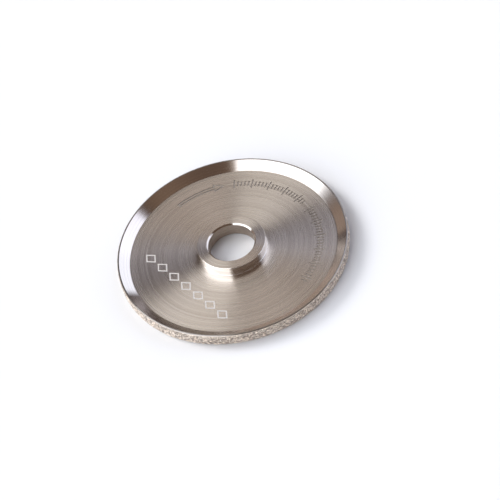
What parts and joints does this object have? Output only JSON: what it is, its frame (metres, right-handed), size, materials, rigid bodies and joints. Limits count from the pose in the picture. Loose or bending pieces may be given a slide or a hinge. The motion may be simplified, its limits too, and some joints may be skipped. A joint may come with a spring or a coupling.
{
  "type": "electroplated diamond grinding wheel",
  "caption": "Turned steel wheel with a dished front, raised hub, through bore and flat back, and a narrow crowned rim plated with nickel and diamond grit.",
  "frame": {"origin": "centre of the bore on the flat back face, which is the face that the wheel lies on", "axes": "+Z along the wheel's axis, from the flat back face towards the dished front; X and Y lie in the back face"},
  "size_m": [0.08, 0.08, 0.0056],
  "materials": {
    "turned_steel": "fine turned steel, satin on the web, hub and back, near mirror on the flank and the lip",
    "plated_nickel": "matt electroplated nickel, warm grey",
    "diamond_crystals": "coarse sparkling crystals, pale straw to smoky grey"
  },
  "bodies": {
    "root": {"wheel_core": "turned_steel", "nickel_bond": "plated_nickel", "diamond_grit": "diamond_crystals"}
  },
  "joints": []
}
